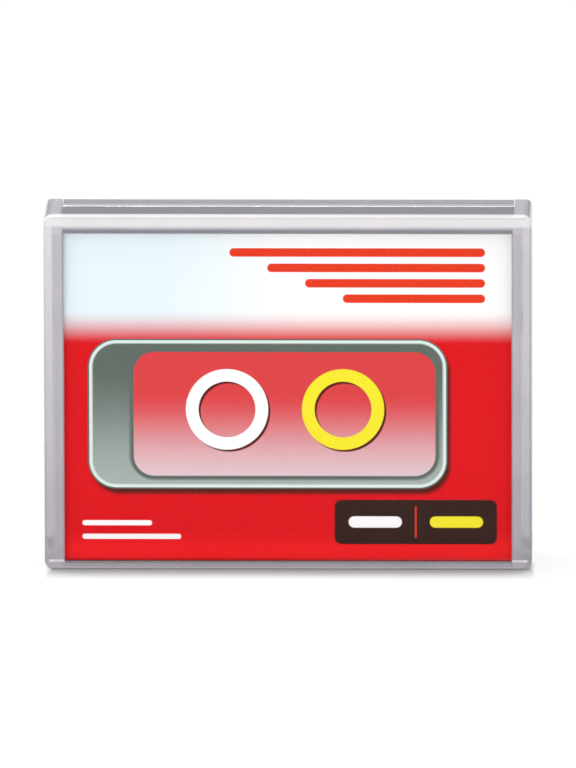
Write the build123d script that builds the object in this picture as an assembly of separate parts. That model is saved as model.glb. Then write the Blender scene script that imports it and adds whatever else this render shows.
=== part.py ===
from build123d import *
import os
from math import acos, atan2, cos, hypot, pi, sin, sqrt

# A 4 mm data tape cartridge, put away in its clear hinged case.
# All sizes are in millimetres. The case is drawn lying on its back and stood up at the end:
# x runs across the width, y from the spine edge (0) to the opening edge,
# z from the back face (0) to the front face.
# The cartridge has the same axes, from its rear edge and its slider side.

# Cartridge, outer sizes
CART_W = 73.0            # width
CART_L = 54.0            # rear edge to door edge
CART_T = 10.5            # slider side to label side
CART_CORNER = 1.5        # rounding of the rear corners
CART_EDGE = 0.4          # eased edges

# Cartridge, shells
UPPER_H = 4.5            # height of the upper shell
SPLIT_LIP = 0.8          # strip of the lower shell above the slider's flanges
SKIN = 1.3               # floor and ceiling
REAR_WALL = 1.4
SIDE_SKIN = 1.3          # side walls beside the reels
FRONT_WALL = 1.2
CORNER_SKIN = 1.0        # ceiling over the guide pins
RUN = 0.1                # running clearance of sliding faces
MOUTH_DEPTH = 12.1       # mouth in front of the tape, from the door's face
MOUTH_MARGIN = 12.5      # mouth's sides from the cartridge's sides
MOUTH_WALL = 1.2
MOUTH_SIDE = 5.5         # length of the mouth's side walls

# Slider
SLIDER_T = 0.55          # sheet of the slider
SLIDER_TRAVEL = 10.0
SLIDER_HOLE_R = 5.1
REAR_STRIP = 0.8         # strip of full thickness behind the slider
LOCK_W = 3.6             # springy lock tongue
LOCK_L = 8.0
LOCK_GAP = 2.0           # tongue beside the mouth
LOCK_CUT = 0.4

# Front door
DOOR_T = 1.05            # sheet of the door
DOOR_EAR_T = 0.95        # thickness of the side ears
DOOR_TOP = 10.5          # how far the door reaches back over the label side
DOOR_R = 1.6             # outer rounding of its front edge
DOOR_GAP = 0.15
DOOR_LOW = 0.1           # lower edge of the front plate
DOOR_PIVOT_BACK = 8.0    # pivot, back from the door's face
DOOR_PIVOT_UP = 1.0      # pivot above the shells' seam
DOOR_PIN_R = 0.7
DOOR_PIN_L = 3.1
PIN_FIT = 0.05           # radial clearance of pins in holes

# Reels and tape
HUB_R = 7.5
HUB_TEETH = 20
TOOTH_H = 0.45
TOOTH_W = 1.2            # width of the toothed rim
HUB_HEADROOM = 0.5
HUB_BOSS_R = 4.55        # boss that turns in the lower shell
HUB_BOSS_GAP = 0.25
HUB_FLOAT = 0.25         # hub above the lower slip sheet
HUB_BORE_R = 3.3         # drive socket
HUB_WEB = 1.0            # closed end of the socket, below the teeth
HUB_LUGS = 3
LUG_W = 1.0
LUG_H = 0.9
HUB_POST_R = 2.0         # post of the upper shell in the hub
HUB_POST_L = 1.1
CLAMP_DEPTH = 1.8        # leader clamp in the rim of a hub
CLAMP_HALF_ANGLE = 18.0
TAPE_CLEAR = 0.615       # tape's edges from the slip sheets
TAPE_T = 0.1             # drawn thickness of the free tape
LEADER_PACK = 0.4        # leader wound on the take-up hub
PACK_ROOM = 0.7          # full pack from the walls in front and behind
PACK_SIDE = 0.6          # full pack from the side wall
PACK_BETWEEN = 3.0       # full pack from the other hub's pack
PACK_SLIP = 0.02         # pack on hub, pins in their seats
PACK_GAP = 0.15          # free tape clear of the packs
GUIDE_SIDE = 8.0         # guide pins from the cartridge's sides
GUIDE_FRONT = 7.5        # guide pins from the door's face
GUIDE_R = 1.9
GUIDE_SEAT = 0.8         # depth of the pins in the floor
GUIDE_GAP = 0.1
SHEET_T = 0.1            # slip sheets
SHEET_LIFT = 0.1
SHEET_DROP = 0.3         # upper sheet below the teeth
SHEET_FRONT_GAP = 0.4
SHEET_EDGE = 0.5
SHEET_HOLE = 0.45

# Brake
BRAKE_HALF = 2.6
BRAKE_REAR_GAP = 4.1     # plate from the rear wall, room for the spring
BRAKE_CLEAR = 0.15       # pawl tip from the teeth
PAWL_ANGLE = 195.0       # place of the pawl on the right hub
PAWL_W = 1.7
BRAKE_NECK = 4.0         # arms from the pawl tips down to the bar
BRAKE_GUIDE_T = 0.8
SPRING_WIRE = 0.24       # square wire of the springs
BRAKE_SPRING_R = 0.5
BRAKE_SPRING_TURNS = 2
BRAKE_SPRING_LEG = 0.4
DOOR_SPRING_R = 1.0
DOOR_SPRING_TURNS = 2

# Small pieces of the cartridge
SCREW_SIDE = 3.9         # corner screws from the sides
SCREW_REAR = 3.4
SCREW_FRONT = 4.6
SCREW_R = 0.75
SCREW_SIDES = 12         # flats of the shafts, in place of a thread
SCREW_HEAD_R = 1.45
SCREW_HEAD_T = 0.85
SCREW_SLACK = 0.15
BOSS_R = 1.8             # stock round the screws
TAB_SIDE = 12.4          # write-protect tab from the corner screw
TAB_W = 4.0
TAB_TRAVEL = 3.6
TAB_UP = 1.0             # slot above the floor
TAB_DOWN = 1.35          # slot below the shells' seam
TAB_LIP = 1.0
ID_HOLES = 4             # recognition holes behind the slider, on the side away from the tab
ID_PITCH = 3.4
ID_SIZE = 1.8
ID_DEPTH = 0.9
ID_REAR = 3.0
ID_SIDE = 9.0
WINDOW_HALF = 12.0
WINDOW_DOOR_GAP = 6.6    # window from the front door
WINDOW_GAP = 3.7         # label from the window
WINDOW_H = 6.4
WINDOW_LAP = 1.0
WINDOW_STEP = 0.6
LABEL_SIDE = 6.5
LABEL_REAR = 3.2
LABEL_DEPTH = 0.15
LABEL_T = 0.1
LABEL_SLIP = 0.15
LABEL_R = 1.2
EDGE_LABEL_SIDE = 20.5
EDGE_LABEL_MARGIN = 0.75
PRISM_W = 2.0
PRISM_H = 3.0
GRIPS = 5                # thumb grooves beside the window
GRIP_PITCH = 2.2
GRIP_SIDE = 4.0
GRIP_W = 0.9
GRIP_DEPTH = 0.3

# Case, walls and clearances
PANEL_T = 1.2            # front panel
SIDE_T = 1.5             # outer side walls
SPINE_T = 1.2            # spine wall, on which the case stands
LIP_T = 1.2              # wall along the opening edge
LIP_DEPTH = 7.7
ARM_W = 3.0              # arms of that wall beside the tray
CASE_CORNER = 1.5
CASE_EDGE = 0.4          # bevel of the front panel's edges
CASE_FOOT_R = 1.9        # rounding of the side walls round the hinge
TRAY_T = 1.2             # back panel and inner walls of the tray
TRAY_GAP = 0.3           # tray side walls in the cover
TRAY_TOP_GAP = 0.15
POCKET_T = 0.75          # front wall of the pocket
POCKET_H = 10.0          # height of that wall above the seat
POCKET_DIP = 5.0         # finger dip in its edge
POCKET_DIP_SIDE = 13.5
FLOOR_T = 1.2
SEAT_RIB_H = 1.1
SEAT_RIBS = 4
RIB_T = 1.2
RIB_REACH = 2.25         # side ribs between tray and cartridge
RIB_FIT = 0.25
SIDE_RIBS = 3
BACK_GAP = 0.6           # cartridge from the back panel
BACK_RIB_GAP = 0.2
BACK_RIB_SIDE = 12.5
CART_FIT = 0.3           # cartridge in the pocket
DOOR_ROOM = 0.8          # door edge to the tray's ledge
LEDGE_T = 1.1
SWING_GAP = 0.4          # ledge under the lip as the tray swings
TOP_STEP = 0.2           # step in the top, along the back face
TOP_STEP_DEPTH = 4.2
TRAY_EDGE_R = 0.35
SIDE_TOP_DROP = 0.6      # tray side walls below the ledge
SIDE_TOP_R = 3.0
CARD_T = 0.3
CARD_SLIP = 0.1          # card behind the front panel
CARD_BACK_GAP = 0.25     # card to the pocket wall
CARD_FLOOR_SLIP = 0.05
CARD_FLOOR_GAP = 0.35    # card's leg to the tray's floor
CARD_FOLD_R = 0.6
CARD_TOP_GAP = 1.1
CARD_SIDE_GAP = 1.77
CARD_LEG_GAP = 0.5
CARD_STOP_H = 1.1        # rib under the lip, above the card
CARD_STOP_D = 1.1
CLIP_DOWN = 17.4         # clips at the card's sides, below its upper edge
CLIP_L = 4.5
CLIP_T = 0.6
CLIP_OVER = 0.9
CLIP_GAP = 0.15
HINGE_W = 2.5            # hinge axis from the back face, and radius of the tray's foot
HINGE_LIFT = 0.4         # the opened tray's height above the table
HINGE_PIN_R = 1.1
HINGE_RECESS = 0.3
SPINE_GAP = 0.35
DETENT_R = 0.8
DETENT_H = 0.2
DETENT_L = 2.4
DETENT_DOWN = 6.3        # detents below the top of the tray's side walls
DETENT_W = 4.5

# Places in the cartridge, worked out from the sizes above
CART_HALF = CART_W / 2
SHELL_HALF = CART_HALF - SLIDER_T - RUN            # shells inside the slider's flanges
SLIDER_SEAT = SLIDER_T + RUN
SPLIT = CART_T - UPPER_H                           # height at which the shells meet
SLIDER_FLANGE = SPLIT - SPLIT_LIP
SLIDER_BACK = REAR_STRIP + SLIDER_TRAVEL + RUN * 2
SHELL_FLOOR = SLIDER_SEAT + SKIN
SHELL_CEILING = CART_T - SKIN
REEL_HALF = SHELL_HALF - SIDE_SKIN
DOOR_BACK = CART_L - DOOR_TOP
DOOR_HALF = CART_HALF - DOOR_EAR_T - DOOR_GAP      # shells between the door's ears
DOOR_PIVOT_V = CART_L - DOOR_PIVOT_BACK
DOOR_PIVOT_W = SPLIT + DOOR_PIVOT_UP
SHELL_FRONT = CART_L - DOOR_T - DOOR_GAP
SHELL_DOOR_TOP = CART_T - DOOR_T - DOOR_GAP
CORNER_CEILING = SHELL_DOOR_TOP - CORNER_SKIN
MOUTH_HALF = CART_HALF - MOUTH_MARGIN
MOUTH_BACK = CART_L - MOUTH_DEPTH
REEL_FRONT = MOUTH_BACK - MOUTH_WALL
GUIDE_U = CART_HALF - GUIDE_SIDE
GUIDE_V = CART_L - GUIDE_FRONT
SCREW_U = CART_HALF - SCREW_SIDE
SCREW_TOP = CORNER_CEILING
TAB_U = SCREW_U - TAB_SIDE
TAB_LOW = SHELL_FLOOR + TAB_UP
TAB_H = SPLIT - TAB_DOWN - TAB_LOW
WINDOW_V = DOOR_BACK - WINDOW_DOOR_GAP - WINDOW_H
LABEL_H = WINDOW_V - WINDOW_GAP - LABEL_REAR
LABEL_HALF = CART_HALF - LABEL_SIDE
EDGE_LABEL_HALF = CART_HALF - EDGE_LABEL_SIDE
EDGE_LABEL_LOW = SPLIT + EDGE_LABEL_MARGIN
EDGE_LABEL_H = UPPER_H - EDGE_LABEL_MARGIN * 2

# Places of the reels: the full pack fills the room between the walls and the other hub
TAKEUP_R = HUB_R + LEADER_PACK
PACK_BY_DEPTH = (REEL_FRONT - REAR_WALL) / 2 - PACK_ROOM
PACK_BY_WIDTH = (2 * (REEL_HALF - PACK_SIDE) - TAKEUP_R - PACK_BETWEEN) / 3
SUPPLY_R = min(PACK_BY_DEPTH, PACK_BY_WIDTH)
HUB_U = REEL_HALF - PACK_SIDE - SUPPLY_R
HUB_V = (REAR_WALL + REEL_FRONT) / 2
TOOTH_W1 = SHELL_CEILING - HUB_HEADROOM
TOOTH_W0 = TOOTH_W1 - TOOTH_W
SHEET_LOW = SHELL_FLOOR + SHEET_LIFT
SHEET_HIGH = TOOTH_W0 - SHEET_DROP
HUB_BOSS_W = SLIDER_SEAT + HUB_BOSS_GAP
HUB_BOTTOM = SHEET_LOW + SHEET_T + HUB_FLOAT
HUB_BORE_TOP = TOOTH_W0 - HUB_WEB
TAPE_LOW = SHEET_LOW + SHEET_T + TAPE_CLEAR
TAPE_W = SHEET_HIGH - TAPE_CLEAR - TAPE_LOW
BRAKE_BACK = REAR_WALL + BRAKE_REAR_GAP

# Places in the case, worked out from the cartridge outwards
HINGE_V = HINGE_W + HINGE_LIFT
FLOOR_V = SPINE_T + CARD_FLOOR_SLIP + CARD_T + CARD_FLOOR_GAP
FLOOR_TOP = FLOOR_V + FLOOR_T
SEAT_V = FLOOR_TOP + SEAT_RIB_H                    # the cartridge's rear edge
CART_W0 = TRAY_T + BACK_GAP                        # the cartridge's slider side
POCKET_IN = CART_W0 + CART_T + CART_FIT
POCKET_FRONT = POCKET_IN + POCKET_T
POCKET_TOP = SEAT_V + POCKET_H
CARD_BACK = POCKET_FRONT + CARD_BACK_GAP
CARD_FRONT = CARD_BACK + CARD_T
PANEL_BACK = CARD_FRONT + CARD_SLIP
CASE_D = PANEL_BACK + PANEL_T
TRAY_IN = CART_HALF + RIB_FIT + RIB_REACH
TRAY_HALF = TRAY_IN + TRAY_T
COVER_IN = TRAY_HALF + TRAY_GAP
CASE_W = 2 * (COVER_IN + SIDE_T)
TOP_HALF = CASE_W / 2 - ARM_W                      # gap between the cover's arms
LEDGE_V = SEAT_V + CART_L + DOOR_ROOM
LEDGE_TOP = LEDGE_V + LEDGE_T
LIP_BACK = CASE_D - LIP_DEPTH
LEDGE_SWEEP = hypot(POCKET_IN - HINGE_W, LEDGE_TOP - HINGE_V)
LEDGE_RISE = sqrt(LEDGE_SWEEP ** 2 - (LIP_BACK - HINGE_W) ** 2) - (LEDGE_TOP - HINGE_V)
LIP_V = LEDGE_TOP + LEDGE_RISE + SWING_GAP
CASE_H = LIP_V + LIP_T
TRAY_SIDE_TOP = LEDGE_TOP - SIDE_TOP_DROP
CLIP_BACK = CARD_BACK - CLIP_GAP - CLIP_T
TRAY_SIDE_FRONT = CLIP_BACK - TRAY_GAP
SPINE_BACK = HINGE_W + sqrt(HINGE_W ** 2 - (HINGE_V - SPINE_T) ** 2) + SPINE_GAP
CARD_HALF = COVER_IN - CARD_SIDE_GAP
CARD_LOW = SPINE_T + CARD_FLOOR_SLIP
CARD_TOP = LIP_V - CARD_STOP_H - CARD_TOP_GAP
CLIP_V = CARD_TOP - CLIP_DOWN
DETENT_V = TRAY_SIDE_TOP - DETENT_DOWN

OVER = 1.0               # how far a cutting block passes its face
SIDE_VIEW = Plane(origin=(0, 0, 0), x_dir=(0, 0, 1), z_dir=(-1, 0, 0))


def block(u, v, w):
    """Block between pairs of low and high places."""
    size = (u[1] - u[0], v[1] - v[0], w[1] - w[0])
    return Pos(u[0], v[0], w[0]) * Box(*size, align=(Align.MIN, Align.MIN, Align.MIN))


def wide(half, v, w):
    """Block centred on the middle plane."""
    return block((-half, half), v, w)


def both(shape):
    """A shape and its mirror image on the other side."""
    return shape + mirror(shape, about=Plane.YZ)


def across(sketch, half):
    """Side view drawn as (depth, height), carried to both sides of the middle plane."""
    return extrude(SIDE_VIEW * sketch, half, both=True)


def rod(u, v, w0, w1, radius):
    """Upright round rod or hole."""
    return Pos(u, v, w0) * Cylinder(radius, w1 - w0, align=(Align.CENTER, Align.CENTER, Align.MIN))


def axle(u, v, w, radius):
    """Round rod along the width, between a pair of places."""
    lying = Rot(0, 90, 0) * Cylinder(radius, u[1] - u[0], align=(Align.CENTER, Align.CENTER, Align.MIN))
    return Pos(u[0], v, w) * lying


def corner(sketch, place, radius):
    """Round the corner of a sketch that lies nearest to a place."""
    nearest = sketch.vertices().sort_by_distance(Vector(place[0], place[1], 0))[0]
    return fillet(nearest, radius)


def stood_up(shape):
    """From lying on its back to standing on its spine edge, front to -Y."""
    return Pos(0, CASE_D / 2, 0) * Rot(90, 0, 0) * shape


def in_case(shape):
    """Cartridge piece in its place in the standing case."""
    return stood_up(Pos(0, SEAT_V, CART_W0) * shape)


def front_cover():
    """Front panel with side walls, spine wall and lip, moulded as one."""
    outline = Pos(0, CASE_H / 2) * RectangleRounded(CASE_W, CASE_H, CASE_CORNER)
    cover = extrude(outline, CASE_D)
    cover = chamfer(cover.faces().sort_by(Axis.Z)[-1].edges(), CASE_EDGE)
    foot = Pos(CASE_D / 2, CASE_H / 2) * Rectangle(CASE_D + OVER * 2, CASE_H)
    foot = Pos(OVER, 0) * corner(foot, (-OVER, 0), CASE_FOOT_R)
    cover &= across(foot, CASE_W)
    cover -= wide(COVER_IN, (SPINE_T, LIP_V), (-OVER, PANEL_BACK))
    cover -= wide(COVER_IN, (-OVER, SPINE_T + OVER), (-OVER, SPINE_BACK))
    cover -= wide(TOP_HALF, (LIP_V - OVER, CASE_H + OVER), (-OVER, LIP_BACK))
    cover -= wide(CASE_W, (CASE_H - TOP_STEP, CASE_H + OVER), (-OVER, TOP_STEP_DEPTH))
    stop = Pos(PANEL_BACK, LIP_V) * Rectangle(CARD_STOP_D * 2, CARD_STOP_H * 2)
    stop = corner(stop, (PANEL_BACK - CARD_STOP_D, LIP_V - CARD_STOP_H), CARD_STOP_D / 2)
    cover += across(stop, COVER_IN) & wide(COVER_IN, (0, LIP_V), (0, PANEL_BACK))
    clip_u = (CARD_HALF - CLIP_OVER, COVER_IN)
    cover += both(block(clip_u, (CLIP_V, CLIP_V + CLIP_L), (CLIP_BACK, CLIP_BACK + CLIP_T)))
    cover += detents(COVER_IN)
    cover -= axle((-CASE_W, CASE_W), HINGE_V, HINGE_W, HINGE_PIN_R + PIN_FIT)
    return cover


def detents(face):
    """Short half-round bars that stand out of the cover's side walls, or their hollows in the tray."""
    bar = Rot(90, 0, 0) * Cylinder(DETENT_R, DETENT_L)
    return both(Pos(face + DETENT_R - DETENT_H, DETENT_V, DETENT_W) * bar)


def tray_walls():
    """Back panel, floor, pocket wall and side walls, with the round foot at the hinge."""
    outline = [
        (0, HINGE_V), (0, LIP_V - TRAY_GAP), (TRAY_T, LIP_V - TRAY_GAP), (TRAY_T, TRAY_SIDE_TOP),
        (TRAY_SIDE_FRONT, TRAY_SIDE_TOP), (TRAY_SIDE_FRONT, POCKET_TOP), (POCKET_FRONT, POCKET_TOP),
        (POCKET_FRONT, FLOOR_V), (HINGE_W, FLOOR_V), (HINGE_W, HINGE_V),
    ]
    side = Polygon(*outline, align=None)
    side = corner(side, (TRAY_SIDE_FRONT, TRAY_SIDE_TOP), SIDE_TOP_R)
    side = corner(side, (POCKET_FRONT, POCKET_TOP), POCKET_T / 2)
    side += Pos(HINGE_W, HINGE_V) * Circle(HINGE_W)
    walls = across(side, TRAY_HALF)
    walls -= wide(TRAY_IN, (FLOOR_TOP, CASE_H), (TRAY_T, POCKET_IN))
    dip_half = CART_HALF - POCKET_DIP_SIDE
    dip_r = (POCKET_DIP ** 2 + dip_half ** 2) / (2 * POCKET_DIP)
    walls -= rod(0, POCKET_TOP - POCKET_DIP + dip_r, POCKET_IN - RUN, POCKET_FRONT + OVER, dip_r)
    return walls


def tray_top():
    """Top wall of the tray and the ledge that runs on under the cover's lip."""
    front = LIP_BACK - TRAY_GAP
    web = front - TRAY_T
    outline = [
        (0, TRAY_SIDE_TOP - OVER), (0, CASE_H - TOP_STEP), (TOP_STEP_DEPTH, CASE_H - TOP_STEP),
        (TOP_STEP_DEPTH, CASE_H), (front, CASE_H), (front, LEDGE_TOP), (POCKET_IN, LEDGE_TOP),
        (POCKET_IN, LEDGE_V), (web, LEDGE_V), (web, CASE_H - LIP_T - TOP_STEP),
        (TRAY_T, CASE_H - LIP_T - TOP_STEP), (TRAY_T, TRAY_SIDE_TOP - OVER),
    ]
    section = Polygon(*outline, align=None)
    section = corner(section, (front, CASE_H), TRAY_EDGE_R)
    section = corner(section, (0, CASE_H - TOP_STEP), TRAY_EDGE_R)
    top = across(section, TOP_HALF - TRAY_TOP_GAP)
    tie = wide(TRAY_IN + TRAY_T / 2, (LEDGE_V, TRAY_SIDE_TOP), (web, TRAY_SIDE_FRONT - SIDE_TOP_R))
    return top + tie


def tray_ribs():
    """Ribs that seat the cartridge at its rear edge, its sides and its back."""
    ribs = Part()
    pitch = CART_W / SEAT_RIBS
    for index in range(SEAT_RIBS):
        middle = (index + 0.5) * pitch - CART_HALF
        place = (middle - RIB_T / 2, middle + RIB_T / 2)
        ribs += block(place, (FLOOR_TOP, SEAT_V), (TRAY_T, POCKET_IN))
    pitch = CART_L / SIDE_RIBS
    for index in range(SIDE_RIBS):
        middle = SEAT_V + (index + 0.5) * pitch
        place = (middle - RIB_T / 2, middle + RIB_T / 2)
        ribs += both(block((CART_HALF + RIB_FIT, TRAY_IN), place, (TRAY_T, CART_W0 + SPLIT)))
    middle = CART_HALF - BACK_RIB_SIDE
    place = (middle - RIB_T / 2, middle + RIB_T / 2)
    ribs += both(block(place, (FLOOR_TOP, SEAT_V + CART_L), (TRAY_T, CART_W0 - BACK_RIB_GAP)))
    return ribs


def rear_tray():
    """Back half of the case, which swings on two pins and holds the cartridge."""
    tray = tray_walls() + tray_top() + tray_ribs()
    pin = axle((TRAY_HALF - TRAY_T / 2, CASE_W / 2 - HINGE_RECESS), HINGE_V, HINGE_W, HINGE_PIN_R)
    return tray + both(pin) - detents(TRAY_HALF)


def inlay_card():
    """Printed card, one leaf behind the front panel and one along the spine, joined by a fold."""
    leaf = Rectangle(CARD_T, CARD_TOP - CARD_LOW)
    leaf = Pos((CARD_BACK + CARD_FRONT) / 2, (CARD_LOW + CARD_TOP) / 2) * leaf
    leg_back = SPINE_BACK + CARD_LEG_GAP
    leg = Pos((leg_back + CARD_FRONT) / 2, CARD_LOW + CARD_T / 2) * Rectangle(CARD_FRONT - leg_back, CARD_T)
    section = corner(leaf + leg, (CARD_FRONT, CARD_LOW), CARD_FOLD_R)
    section = corner(section, (CARD_BACK, CARD_LOW + CARD_T), CARD_FOLD_R - CARD_T)
    return across(section, CARD_HALF)


def cart_outline(front):
    """Plan of the shells, with round rear corners, up to a front edge."""
    plan = Pos(0, front / 2) * Rectangle(CART_W, front)
    plan = corner(plan, (CART_HALF, 0), CART_CORNER)
    return corner(plan, (-CART_HALF, 0), CART_CORNER)


def mouth_room(w):
    """Room of the reels, the tape and the guide pins, without the mouth's walls."""
    room = wide(REEL_HALF, (REAR_WALL, SHELL_FRONT - FRONT_WALL), w)
    wall = (REEL_FRONT, MOUTH_BACK + MOUTH_SIDE)
    return room - wide(MOUTH_HALF + MOUTH_WALL, wall, w)


def beside_door(w):
    """Stock outside the shells where the door's ears hang."""
    place = (DOOR_BACK - DOOR_GAP, CART_L + OVER)
    return both(block((DOOR_HALF, CART_HALF + OVER), place, w))


def screw_places():
    """Centres of the four shell screws."""
    return [(side * SCREW_U, v) for side in (-1, 1) for v in (SCREW_REAR, CART_L - SCREW_FRONT)]


def shaft(u, v, w0, w1, radius):
    """Shaft of a screw or its hole."""
    return Pos(u, v, w0) * extrude(RegularPolygon(radius, SCREW_SIDES), w1 - w0)


def corner_posts(w0, w1):
    """Stock for the screws in the shells' corners, round on the inside."""
    inner = SCREW_U - BOSS_R
    rear = (REAR_WALL / 2, SCREW_REAR + BOSS_R)
    front = (SHELL_FRONT, CART_L - SCREW_FRONT - BOSS_R)
    posts = Part()
    for wall, edge in (rear, front):
        plan = Rectangle(DOOR_HALF - inner, abs(edge - wall))
        plan = Pos((inner + DOOR_HALF) / 2, (wall + edge) / 2) * plan
        posts += both(Pos(0, 0, w0) * extrude(corner(plan, (inner, edge), BOSS_R), w1 - w0))
    return posts


def tab_slot():
    """Slot of the write-protect tab in the rear wall."""
    place = (TAB_U - RUN * 2, TAB_U + TAB_W + TAB_TRAVEL + RUN * 2)
    return block(place, (-OVER, REAR_WALL + RUN), (TAB_LOW - RUN, TAB_LOW + TAB_H + RUN))


def lower_shell():
    """Shell on the slider side: hub holes, mouth, guide seats and screw bosses."""
    shell = extrude(cart_outline(SHELL_FRONT), SPLIT)
    seat = wide(CART_W, (REAR_STRIP, CART_L), (-OVER, SLIDER_FLANGE + RUN))
    seat -= wide(SHELL_HALF, (0, CART_L), (SLIDER_SEAT, SPLIT))
    shell -= seat
    shell -= beside_door((SLIDER_FLANGE, SPLIT + OVER))
    shell -= mouth_room((SHELL_FLOOR, SPLIT + OVER))
    shell -= wide(MOUTH_HALF, (MOUTH_BACK, CART_L), (-OVER, SPLIT + OVER))
    shell += corner_posts(SHELL_FLOOR - RUN, SPLIT)
    for u, v in screw_places():
        shell -= rod(u, v, -OVER, SLIDER_SEAT + SCREW_SLACK + SCREW_HEAD_T, SCREW_HEAD_R + SCREW_SLACK)
        shell -= shaft(u, v, 0, SPLIT + OVER, SCREW_R + SCREW_SLACK)
    for u in (-HUB_U, HUB_U):
        shell -= rod(u, HUB_V, 0, SHELL_FLOOR + OVER, HUB_BOSS_R + PIN_FIT)
    for u in (-GUIDE_U, GUIDE_U):
        shell -= rod(u, GUIDE_V, SHELL_FLOOR - GUIDE_SEAT, SHELL_FLOOR + OVER, GUIDE_R + PACK_SLIP)
    return shell - tab_slot() - id_holes()


def id_holes():
    """Recognition holes, blind, in the floor behind the slider."""
    holes = Part()
    for index in range(ID_HOLES):
        u = ID_SIDE + index * ID_PITCH - CART_HALF
        holes += block((u, u + ID_SIZE), (ID_REAR, ID_REAR + ID_SIZE), (0, SLIDER_SEAT + ID_DEPTH))
    return holes


def window_opening(grow):
    """Plan of the opening under the pane, grown on every side."""
    return Pos(0, WINDOW_V + WINDOW_H / 2) * Rectangle(2 * (WINDOW_HALF + grow), WINDOW_H + 2 * grow)


def window_plan(grow):
    """Plan of the pane, which laps over the opening, grown on every side."""
    size = (2 * (WINDOW_HALF + WINDOW_LAP + grow), WINDOW_H + 2 * (WINDOW_LAP + grow))
    return Pos(0, WINDOW_V + WINDOW_H / 2) * RectangleRounded(*size, LABEL_R)


def label_plan(shrink):
    """Plan of the main label, shrunk on every side."""
    size = (2 * (LABEL_HALF - shrink), LABEL_H - 2 * shrink)
    return Pos(0, LABEL_REAR + LABEL_H / 2) * RectangleRounded(*size, LABEL_R)


def grip_grooves():
    """Thumb grooves on both sides of the window."""
    grooves = Part()
    for index in range(GRIPS):
        outer = CART_HALF - GRIP_SIDE - index * GRIP_PITCH
        place = (outer - GRIP_W, outer)
        grooves += both(block(place, (WINDOW_V, WINDOW_V + WINDOW_H), (CART_T - GRIP_DEPTH, CART_T + OVER)))
    return grooves


def upper_shell():
    """Shell on the label side: window, label recess, screw bosses and hub posts."""
    shell = Pos(0, 0, SPLIT) * extrude(cart_outline(SHELL_FRONT), CART_T - SPLIT)
    shell = chamfer(shell.faces().sort_by(Axis.Z)[-1].edges(), CART_EDGE)
    shell -= wide(CART_W, (DOOR_BACK - DOOR_GAP, CART_L), (SHELL_DOOR_TOP, CART_T + OVER))
    shell -= beside_door((SPLIT - OVER, CART_T + OVER))
    shell -= mouth_room((SPLIT - OVER, CORNER_CEILING))
    shell -= wide(REEL_HALF, (REAR_WALL, REEL_FRONT), (SPLIT - OVER, SHELL_CEILING))
    shell -= wide(MOUTH_HALF, (MOUTH_BACK, CART_L), (SPLIT - OVER, CORNER_CEILING))
    shell += corner_posts(SPLIT, SHELL_CEILING + RUN / 2)
    for u, v in screw_places():
        shell -= shaft(u, v, SPLIT - OVER, SCREW_TOP + SCREW_SLACK, SCREW_R + PACK_SLIP)
    for u in (-HUB_U, HUB_U):
        shell += rod(u, HUB_V, SHELL_CEILING - HUB_POST_L, SHELL_CEILING + RUN, HUB_POST_R)
    guide = (BRAKE_HALF + RUN * 2, BRAKE_HALF + RUN * 2 + BRAKE_GUIDE_T)
    length = (BRAKE_BACK + OVER, pawl_tip()[1] - BRAKE_NECK - OVER)
    shell += both(block(guide, length, (TOOTH_W0, SHELL_CEILING + RUN)))
    through = (DOOR_HALF - SIDE_SKIN - OVER, CART_HALF)
    shell -= both(axle(through, DOOR_PIVOT_V, DOOR_PIVOT_W, DOOR_PIN_R + PIN_FIT))
    shell -= extrude(window_opening(0), CART_T + OVER)
    shell -= Pos(0, 0, CART_T - WINDOW_STEP) * extrude(window_plan(0), WINDOW_STEP + OVER)
    shell -= Pos(0, 0, CART_T - LABEL_DEPTH) * extrude(label_plan(0), LABEL_DEPTH + OVER)
    rear = (EDGE_LABEL_LOW, EDGE_LABEL_LOW + EDGE_LABEL_H)
    shell -= wide(EDGE_LABEL_HALF, (-OVER, LABEL_DEPTH), rear)
    return shell - grip_grooves()


def window():
    """Clear pane, stepped to sit in the upper shell."""
    pane = Pos(0, 0, CART_T - WINDOW_STEP) * extrude(window_plan(-RUN), WINDOW_STEP - RUN)
    plug = Pos(0, 0, SHELL_CEILING) * extrude(window_opening(-RUN), SKIN - WINDOW_STEP)
    return pane + plug


def main_label():
    return Pos(0, 0, CART_T - LABEL_DEPTH) * extrude(label_plan(LABEL_SLIP), LABEL_T)


def edge_label():
    """Label on the rear edge."""
    height = (EDGE_LABEL_LOW + LABEL_SLIP, EDGE_LABEL_LOW + EDGE_LABEL_H - LABEL_SLIP)
    return wide(EDGE_LABEL_HALF - LABEL_SLIP, (LABEL_DEPTH - LABEL_T, LABEL_DEPTH), height)


def front_door():
    """Door over the mouth, with ears that turn on two pins."""
    ear_low = SLIDER_FLANGE + RUN * 2
    ears = Pos((ear_low + CART_T) / 2, CART_L - DOOR_TOP / 2) * Rectangle(CART_T - ear_low, DOOR_TOP)
    ears = corner(ears, (ear_low, CART_L - DOOR_TOP), DOOR_R)
    plate = Pos((DOOR_LOW + CART_T) / 2, CART_L - DOOR_T / 2) * Rectangle(CART_T - DOOR_LOW, DOOR_T)
    section = corner(ears + plate, (CART_T, CART_L), DOOR_R)
    door = across(section, CART_HALF)
    inside = wide(DOOR_HALF + DOOR_GAP, (DOOR_BACK - OVER, CART_L - DOOR_T), (0, CART_T - DOOR_T))
    door -= inside
    pin = (DOOR_HALF + DOOR_GAP - DOOR_PIN_L, DOOR_HALF + DOOR_GAP + DOOR_EAR_T / 2)
    return door + both(axle(pin, DOOR_PIVOT_V, DOOR_PIVOT_W, DOOR_PIN_R))


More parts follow.
